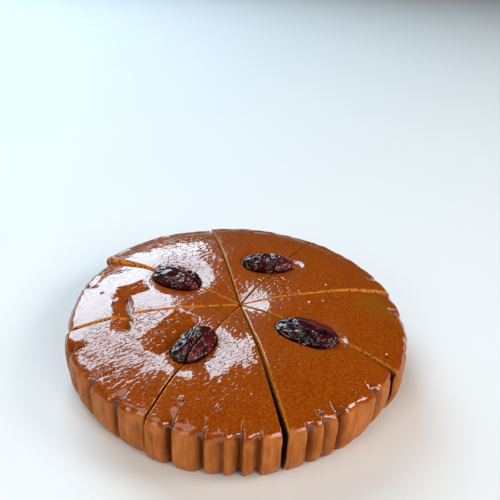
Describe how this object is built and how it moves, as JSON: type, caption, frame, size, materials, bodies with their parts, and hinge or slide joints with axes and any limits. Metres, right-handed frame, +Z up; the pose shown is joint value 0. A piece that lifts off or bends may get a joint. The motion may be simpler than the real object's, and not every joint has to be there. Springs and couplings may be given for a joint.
{
  "type": "brown sugar steamed rice cake",
  "caption": "Round steamed sweet cake with a glossy brown top and fluted side, sliced into wedges that lie together, with dried dates pressed into the cuts.",
  "frame": {"origin": "under the middle of the cake's bounding box, on the surface that it rests on", "axes": "+Z up through the cake's thickness, which is its shortest side; -Y towards the viewer, +X to the viewer's right"},
  "size_m": [0.1786, 0.1808, 0.0395],
  "materials": {
    "steamed_cake": "glossy caramel brown skin, porous where it is cut",
    "dried_date": "wrinkled dark red skin with a wet shine"
  },
  "bodies": {
    "root": {"wedge_1": "steamed_cake", "wedge_2": "steamed_cake", "wedge_3": "steamed_cake", "wedge_4": "steamed_cake", "wedge_5": "steamed_cake", "wedge_6": "steamed_cake", "wedge_7": "steamed_cake", "wedge_8": "steamed_cake", "date_1_first": "dried_date", "date_1_second": "dried_date", "date_2_first": "dried_date", "date_2_second": "dried_date", "date_3_first": "dried_date", "date_3_second": "dried_date", "date_4_first": "dried_date", "date_4_second": "dried_date"}
  },
  "joints": []
}
